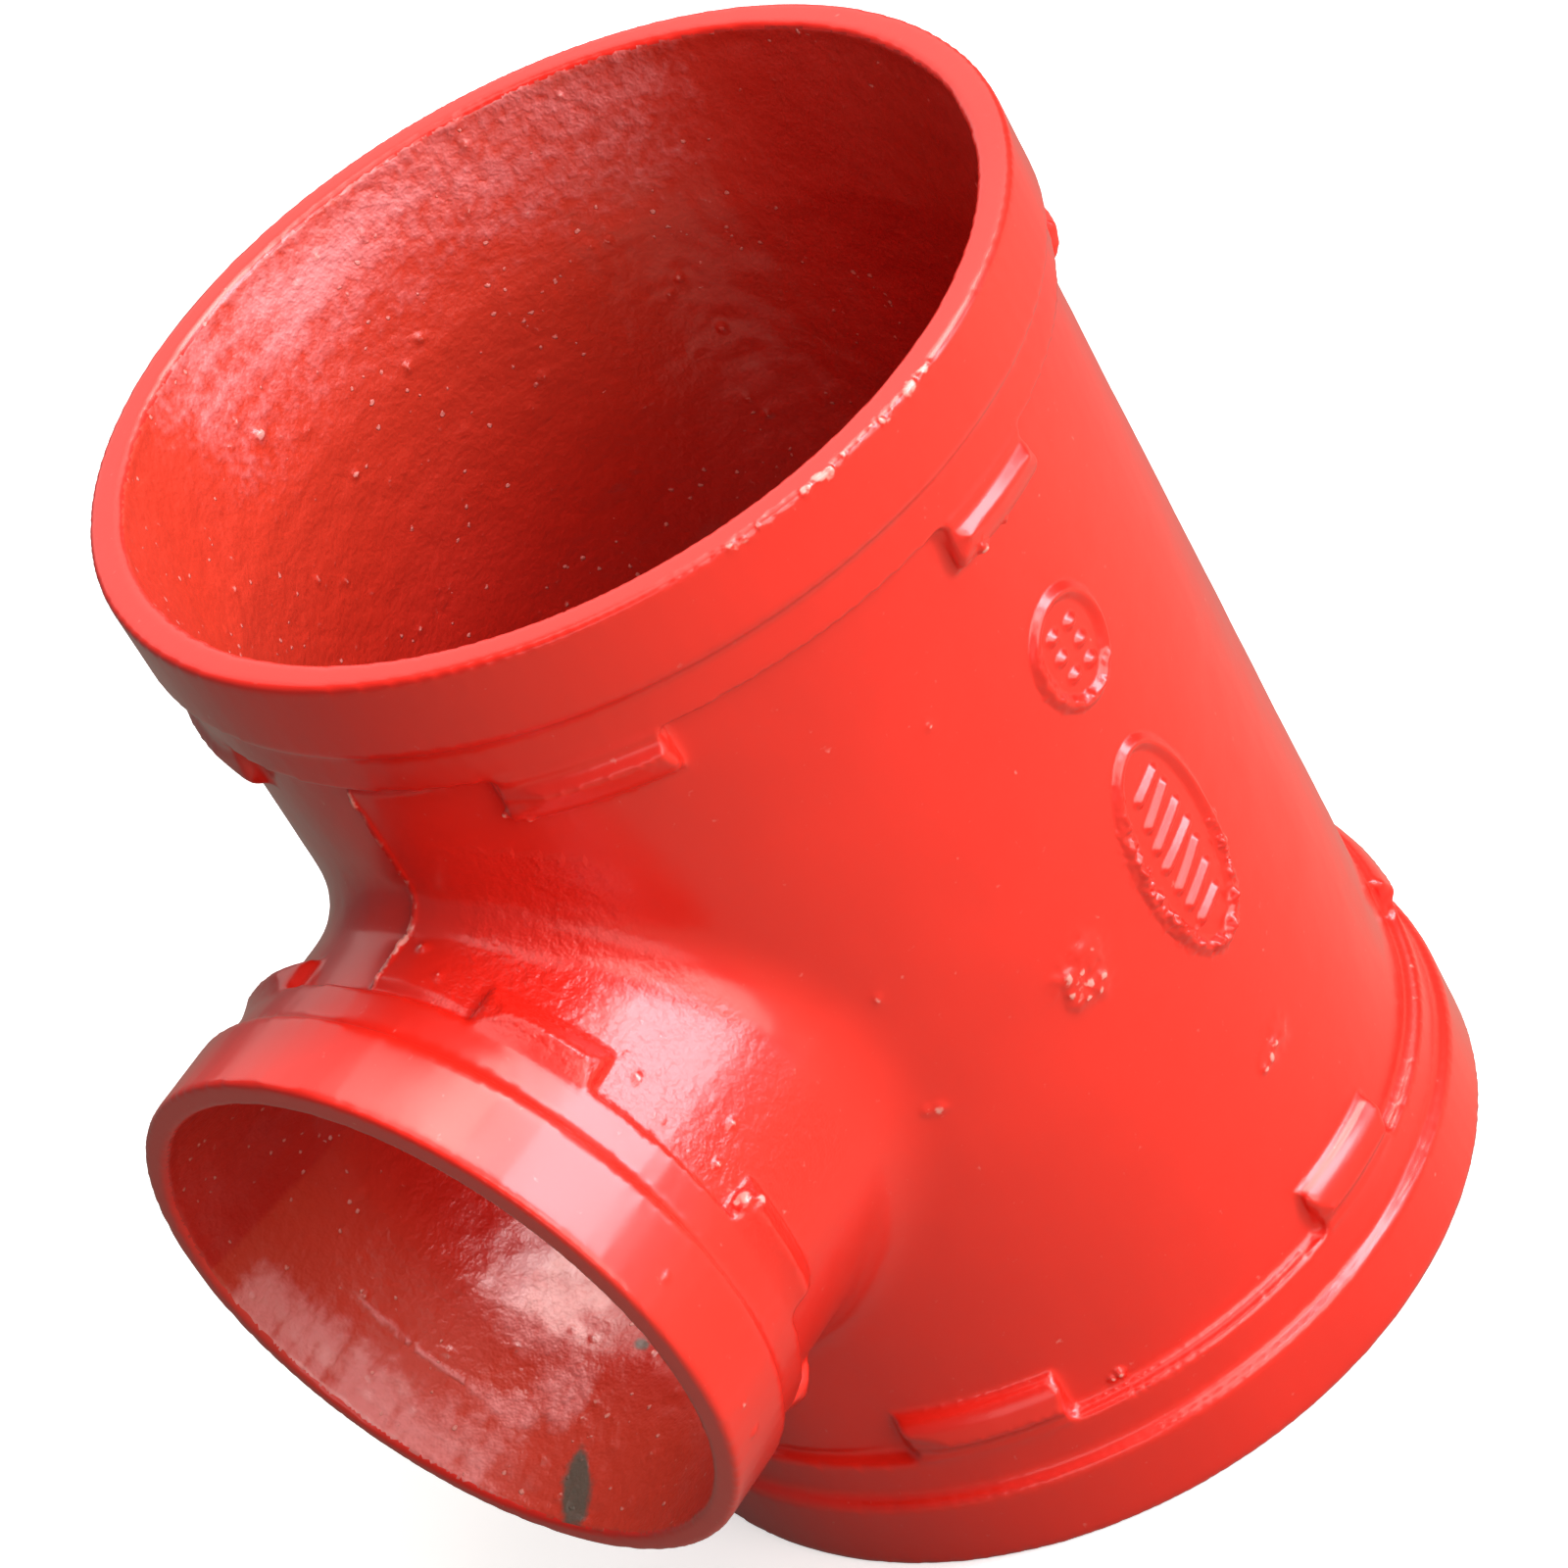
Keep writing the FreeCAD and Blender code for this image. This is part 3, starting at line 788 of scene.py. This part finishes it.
def cut_out(obj, name, keep, normals):
    # A piece made of the faces of obj that are marked, with the whole casting's normals kept at its edges.
    work = bmesh.new()
    work.from_mesh(obj.data)
    number = work.verts.layers.int.new("number")
    work.verts.ensure_lookup_table()
    for index, vertex in enumerate(work.verts):
        vertex[number] = index
    gone = [face for face in work.faces if not keep[face.index]]
    bmesh.ops.delete(work, geom=gone, context="FACES")
    order = [vertex[number] for vertex in work.verts]
    work.verts.layers.int.remove(number)
    mesh = bpy.data.meshes.new(name)
    work.to_mesh(mesh)
    work.free()
    mesh.shade_smooth()
    mesh.normals_split_custom_set_from_vertices([tuple(normals[k]) for k in order])
    piece = bpy.data.objects.new(name, mesh)
    bpy.context.scene.collection.objects.link(piece)
    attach(piece, "root")
    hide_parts(NODE)
    return piece


def casting():
    whole = casting_base()
    inside = shaped(whole)
    mesh = whole.data
    mesh.shade_smooth()
    normals = vertex_normals(mesh)
    centres = vectors(mesh.polygons, "center")
    inner = np.array([all(inside[k] for k in face.vertices) for face in mesh.polygons])
    front = centres[:, 1] > 0
    upper = centres[:, 2] > MID
    groups = {
        "casting_front_upper": ~inner & front & upper,
        "casting_front_lower": ~inner & front & ~upper,
        "casting_back_upper": ~inner & ~front & upper,
        "casting_back_lower": ~inner & ~front & ~upper,
        "casting_passages_upper": inner & upper,
        "casting_passages_lower": inner & ~upper,
    }
    pieces = {name: cut_out(whole, name, keep, normals) for name, keep in groups.items()}
    bpy.data.objects.remove(whole)
    return pieces


# Materials. Each pair of paints is mixed by broad, soft patches.
PAINT = (0.85, 0.0175, 0.0075, 1)
PAINT_DEEP = (0.78, 0.015, 0.0065, 1)
# Painted shade: the passages' paints are darker copies of the outer paints, standing in for the shade inside
# the passages.
SHADED_PASSAGE_PAINT = (0.58, 0.0155, 0.0075, 1)
SHADED_PASSAGE_DEEP = (0.52, 0.013, 0.0065, 1)
# Painted light: a paler, more orange copy of the passages' paint, for their lit wall near the mouths.
LIT_PASSAGE_PAINT = (0.64, 0.044, 0.020, 1)
# Pale paint for the painted sheen in the passages.
PAINTED_SHEEN = (0.86, 0.25, 0.245, 1)
# Pale paint for painted highlights on the lump tops, the crotch's edge and the specks, and for the bare chips
# along the bead.
GLINT_AND_CHIP = (0.92, 0.42, 0.36, 1)
STAIN = (0.115, 0.10, 0.078, 1)
BROAD_SCALE = 30
BROAD_DETAIL = 1
BROAD_COLOUR = (0.25, 0.75)
BROAD_GLOSS = (0.3, 0.7)
COAT = 0.7
COAT_ROUGHNESS = 0.19
# The lowest and highest roughness, and the height of the orange peel in the coat.
OUTER_GLOSS = (0.30, 0.38)
OUTER_PEEL = 0.02 * MM
PASSAGE_GLOSS = (0.34, 0.46)
PASSAGE_PEEL = 0.34 * MM
PEEL_SCALE = 500
PEEL_DETAIL = 2
PEEL_ROUGHNESS = 0.6
HAMMER = 0.55 * MM
# Ragged edges of the pale chips and painted highlights, of the painted sheen and of the stains.
EDGE_RAGGED = 1.6
GLINT_AND_CHIP_EDGE = (0.30, 0.75)
GLINT_AND_CHIP_PALE = 0.8
SHEEN_RAGGED = 0.6
SHEEN_FULL = 0.3
SHEEN_DULL = 0.15
SHEEN_PEEL = 2.2
SHEEN_PEEL_FULL = 0.7
STAIN_RAGGED = 0.5
STAIN_EDGE = (0.15, 0.9)
# Specks of sand under the paint, thicker in some places than in others, each with a pale painted glint.
SPECK_RISE = 0.2 * MM
SPECK_SCALE = 640
SPECK_SHARE = 0.24
SPECK_GLINT = 0.6
SPECK_EDGE = (0.03, 0.24)
SPECK_BROAD = (0.35, 0.75)


class Nodes:
    # The node tree of a material or a world, with short calls for the nodes used here.
    def __init__(self, owner):
        owner.use_nodes = True
        self.tree = owner.node_tree
        self.tree.nodes.clear()

    def put(self, socket, value):
        if isinstance(value, bpy.types.NodeSocket):
            self.tree.links.new(value, socket)
        else:
            socket.default_value = value

    def node(self, kind, inputs, **settings):
        made = self.tree.nodes.new("ShaderNode" + kind)
        for key, value in settings.items():
            setattr(made, key, value)
        for key, value in inputs.items():
            self.put(made.inputs[key], value)
        return made

    def math(self, operation, first, second):
        return self.node("Math", {0: first, 1: second}, operation=operation).outputs[0]

    def add(self, first, second):
        return self.math("ADD", first, second)

    def times(self, first, second):
        return self.math("MULTIPLY", first, second)

    def ramp(self, value, low, high, start=0.0, end=1.0):
        inputs = {"Value": value, "From Min": low, "From Max": high, "To Min": start, "To Max": end}
        return self.node("MapRange", inputs, interpolation_type="SMOOTHSTEP").outputs[0]

    def over(self, base, colour, amount):
        return self.node("Mix", {0: amount, 6: base, 7: colour}, data_type="RGBA").outputs[2]

    def field(self, name):
        return self.node("Attribute", {}, attribute_name=name).outputs["Fac"]

    def grain(self, place, scale, detail, roughness=0.5):
        inputs = {"Vector": place, "Scale": scale, "Detail": detail, "Roughness": roughness}
        return self.node("TexNoise", inputs).outputs[0]


def specks(made, place, broad, ragged):
    # 1 on a speck, 0 round it.
    cells = made.node("TexVoronoi", {"Vector": place, "Scale": SPECK_SCALE})
    chosen = made.node("SeparateColor", {"Color": cells.outputs["Color"]}).outputs[0]
    dot = made.ramp(made.add(cells.outputs["Distance"], ragged), *SPECK_EDGE, 1.0, 0.0)
    return made.times(dot, made.math("LESS_THAN", chosen, made.ramp(broad, *SPECK_BROAD, 0.0, SPECK_SHARE)))


def passage_layers(made, place, broad, ragged, colour, dull, height):
    # What only the passages have: painted light on the lit wall near the mouths, painted sheen, specks of
    # sand with painted glints, and stains.
    dot = specks(made, place, broad, ragged)
    field = made.field("painted_sheen")
    painted_sheen = made.ramp(made.add(field, made.times(ragged, SHEEN_RAGGED)), 0.0, 1.0)
    painted_sheen = made.times(painted_sheen, made.ramp(field, 0.0, SHEEN_FULL))
    stain = made.ramp(made.add(made.field("stain"), made.times(ragged, STAIN_RAGGED)), *STAIN_EDGE)
    # Painted light on the lit wall near the mouths.
    colour = made.over(colour, LIT_PASSAGE_PAINT, made.field("painted_light"))
    # Painted sheen and reflection, as pale paint.
    colour = made.over(colour, PAINTED_SHEEN, painted_sheen)
    colour = made.over(colour, GLINT_AND_CHIP, made.times(dot, SPECK_GLINT))
    colour = made.over(colour, STAIN, stain)
    dull = made.add(dull, made.times(painted_sheen, SHEEN_DULL))
    rough = made.ramp(field, 0.0, SHEEN_PEEL_FULL, 1.0, SHEEN_PEEL)
    height = made.add(made.times(height, rough), made.times(dot, SPECK_RISE))
    return colour, dull, height


def red_paint(name, gloss, peel, passage):
    material = bpy.data.materials.new(name)
    made = Nodes(material)
    place = made.node("TexCoord", {}).outputs["Object"]
    broad = made.grain(place, BROAD_SCALE, BROAD_DETAIL)
    waves = made.grain(place, PEEL_SCALE, PEEL_DETAIL, PEEL_ROUGHNESS)
    ragged = made.times(made.math("SUBTRACT", waves, 0.5), EDGE_RAGGED)
    # Painted highlights on the lump tops and along the crotch's edge, and bare chips along the bead.
    glints_and_chips = made.ramp(made.add(made.field("glints_and_chips"), ragged), *GLINT_AND_CHIP_EDGE)
    # Painted shade: the passages take the darker, shaded copies of the paint.
    deep, plain = (SHADED_PASSAGE_DEEP, SHADED_PASSAGE_PAINT) if passage else (PAINT_DEEP, PAINT)
    colour = made.over(deep, plain, made.ramp(broad, *BROAD_COLOUR))
    dull = made.ramp(broad, *BROAD_GLOSS, *gloss)
    height = made.times(waves, peel)
    if passage:
        colour, dull, height = passage_layers(made, place, broad, ragged, colour, dull, height)
    else:
        height = made.add(height, made.times(waves, made.times(made.field("hammered"), HAMMER)))
    colour = made.over(colour, GLINT_AND_CHIP, made.times(glints_and_chips, GLINT_AND_CHIP_PALE))
    bump = made.node("Bump", {"Height": height, "Distance": 1.0, "Strength": 1.0}).outputs[0]
    coat = {"Coat Weight": COAT, "Coat Roughness": COAT_ROUGHNESS}
    skin = made.node("BsdfPrincipled", {"Base Color": colour, "Roughness": dull, "Normal": bump, **coat})
    made.node("OutputMaterial", {"Surface": skin.outputs[0]})
    return material


# Stage. The floor's light on the object darkens towards the object's shaded side, and far off the floor
# glows for the camera. The last two are the shares of the white background that gloss and clear things
# show.
FLOOR_HALF = 6.0
FLOOR_PALE = (0.8, 0.8, 0.8, 1)
FLOOR_GLOW = (0.6, 1.2)
FLOOR_GLOW_FROM = (0.3, 1.0)
FLOOR_LIGHT = (0.1, 0.25)
FLOOR_FADE = (-0.12, 0.2)
FLOOR_FACING = math.radians(75)
FLOOR_GREEN = 0.9
FLOOR_BLUE = 0.6
WHITE = (1, 1, 1, 1)
AMBIENT = (1.0, 0.93, 0.84, 1)
AMBIENT_LEVEL = 0.05
WORLD_IN_GLOSS = 0.12
FLOOR_IN_GLOSS = 0.1

# The soft lamps round the object: degrees round and up, width and height in metres, radiance, tint.
LAMP_AWAY = 1.4
LAMPS_FACE = Vector((0, 0, MID))
LAMPS = [
    ("window_key", 116, 30, 0.44, 0.92, 10.5, (0.95, 0.93, 1.05)),
    ("window_low", 126, 5, 0.5, 0.4, 2.4, (0.95, 0.93, 1.0)),
    ("window_side", 137, 50, 0.5, 0.5, 7.5, (1.0, 0.93, 0.94)),
    ("window_high", 166, 61, 0.7, 0.5, 9.0, (1.0, 0.92, 0.86)),
    ("front_strip", 89, 34, 0.36, 0.26, 7.0, (0.98, 0.93, 1.0)),
    ("front_wide", 84, 14, 1.0, 0.6, 3.4, (1.0, 0.95, 0.88)),
    ("front_high", 70, 42, 0.6, 0.6, 3.0, (1.0, 0.94, 0.86)),
    ("side_low", 34, 12, 0.9, 0.5, 1.3, (1.0, 0.94, 0.88)),
    ("top", 90, 86, 0.9, 0.9, 1.6, (1.0, 0.95, 0.90)),
    ("back_high", 208, 59, 0.6, 0.5, 3.4, (1.0, 0.93, 0.88)),
    ("back_left", 230, 35, 1.5, 1.15, 0.72, (1.0, 0.95, 0.90)),
]


def area_light(name, azimuth, elevation, width, height, radiance, tint):
    lamp = bpy.data.lights.new(name, "AREA")
    lamp.shape = "RECTANGLE"
    lamp.size = width
    lamp.size_y = height
    lamp.energy = math.pi * width * height * radiance
    lamp.color = tint
    obj = bpy.data.objects.new(name, lamp)
    bpy.context.scene.collection.objects.link(obj)
    a, e = math.radians(azimuth), math.radians(elevation)
    out = Vector((math.cos(a) * math.cos(e), math.sin(a) * math.cos(e), math.sin(e)))
    obj.location = LAMPS_FACE + out * LAMP_AWAY
    obj.rotation_euler = out.to_track_quat("Z", "Y").to_euler()


def background_share(made, in_gloss):
    # How much of the white background a ray sees: all of it straight from the camera, and a part of it in
    # gloss and through clear things, as the photo's paint mirrors darker surroundings than white.
    path = made.node("LightPath", {}).outputs
    bent = made.math("MAXIMUM", path["Is Glossy Ray"], path["Is Transmission Ray"])
    return made.math("MAXIMUM", path["Is Camera Ray"], made.times(bent, in_gloss))


def floor_material():
    material = bpy.data.materials.new("floor_pale")
    made = Nodes(material)
    # Seen by the camera it is white, with the object's soft shadow, and far off it glows to stay white.
    place = made.node("TexCoord", {}).outputs["Object"]
    far = made.node("VectorMath", {0: place}, operation="LENGTH").outputs["Value"]
    plain = made.node("BsdfDiffuse", {"Color": FLOOR_PALE})
    glow = made.node("Emission", {"Strength": made.ramp(far, *FLOOR_GLOW_FROM, *FLOOR_GLOW)})
    seen = made.node("AddShader", {0: plain.outputs[0], 1: glow.outputs[0]})
    # In its light on the object it darkens towards the object's shaded side, as under lamps from one side.
    facing = {0: place, 1: (math.cos(FLOOR_FACING), math.sin(FLOOR_FACING), 0)}
    along = made.node("VectorMath", facing, operation="DOT_PRODUCT").outputs["Value"]
    level = made.ramp(along, *FLOOR_FADE, *FLOOR_LIGHT)
    green = made.times(level, FLOOR_GREEN)
    blue = made.times(level, FLOOR_BLUE)
    tint = made.node("CombineColor", {0: level, 1: green, 2: blue}).outputs[0]
    shade = made.node("BsdfDiffuse", {"Color": tint})
    share = background_share(made, FLOOR_IN_GLOSS)
    mixed = made.node("MixShader", {0: share, 1: shade.outputs[0], 2: seen.outputs[0]})
    made.node("OutputMaterial", {"Surface": mixed.outputs[0]})
    return material


def floor():
    mesh = bpy.data.meshes.new("floor")
    corners = [(-1, -1), (1, -1), (1, 1), (-1, 1)]
    mesh.from_pydata([(x * FLOOR_HALF, y * FLOOR_HALF, 0) for x, y in corners], [], [(0, 1, 2, 3)])
    mesh.materials.append(floor_material())
    obj = bpy.data.objects.new("floor", mesh)
    bpy.context.scene.collection.objects.link(obj)


def studio():
    world = bpy.data.worlds.new("studio")
    bpy.context.scene.world = world
    made = Nodes(world)
    soft = made.node("Background", {"Color": AMBIENT, "Strength": AMBIENT_LEVEL})
    white = made.node("Background", {"Color": WHITE, "Strength": 1.0})
    share = background_share(made, WORLD_IN_GLOSS)
    mixed = made.node("MixShader", {0: share, 1: soft.outputs[0], 2: white.outputs[0]})
    made.node("OutputWorld", {"Surface": mixed.outputs[0]})
    for row in LAMPS:
        area_light(*row)


def camera():
    data = bpy.data.cameras.new("camera")
    data.lens = CAMERA_LENS
    data.sensor_width = CAMERA_SENSOR
    obj = bpy.data.objects.new("camera", data)
    bpy.context.scene.collection.objects.link(obj)
    obj.location = CAMERA_AT
    turn = (CAMERA_AIM - CAMERA_AT).to_track_quat("-Z", "Y").to_matrix()
    obj.rotation_euler = (turn @ Matrix.Rotation(math.radians(CAMERA_ROLL), 3, "Z")).to_euler()
    bpy.context.scene.camera = obj


outer_paint = red_paint("outer_paint", OUTER_GLOSS, OUTER_PEEL, False)
# The passages' material is the shaded copy of the paint, as painted shade.
shaded_inner_paint = red_paint("shaded_inner_paint", PASSAGE_GLOSS, PASSAGE_PEEL, True)
for name, piece in casting().items():
    piece.data.materials.append(shaded_inner_paint if "passages" in name else outer_paint)
floor()
studio()
camera()
bpy.context.scene.view_settings.view_transform = "Standard"
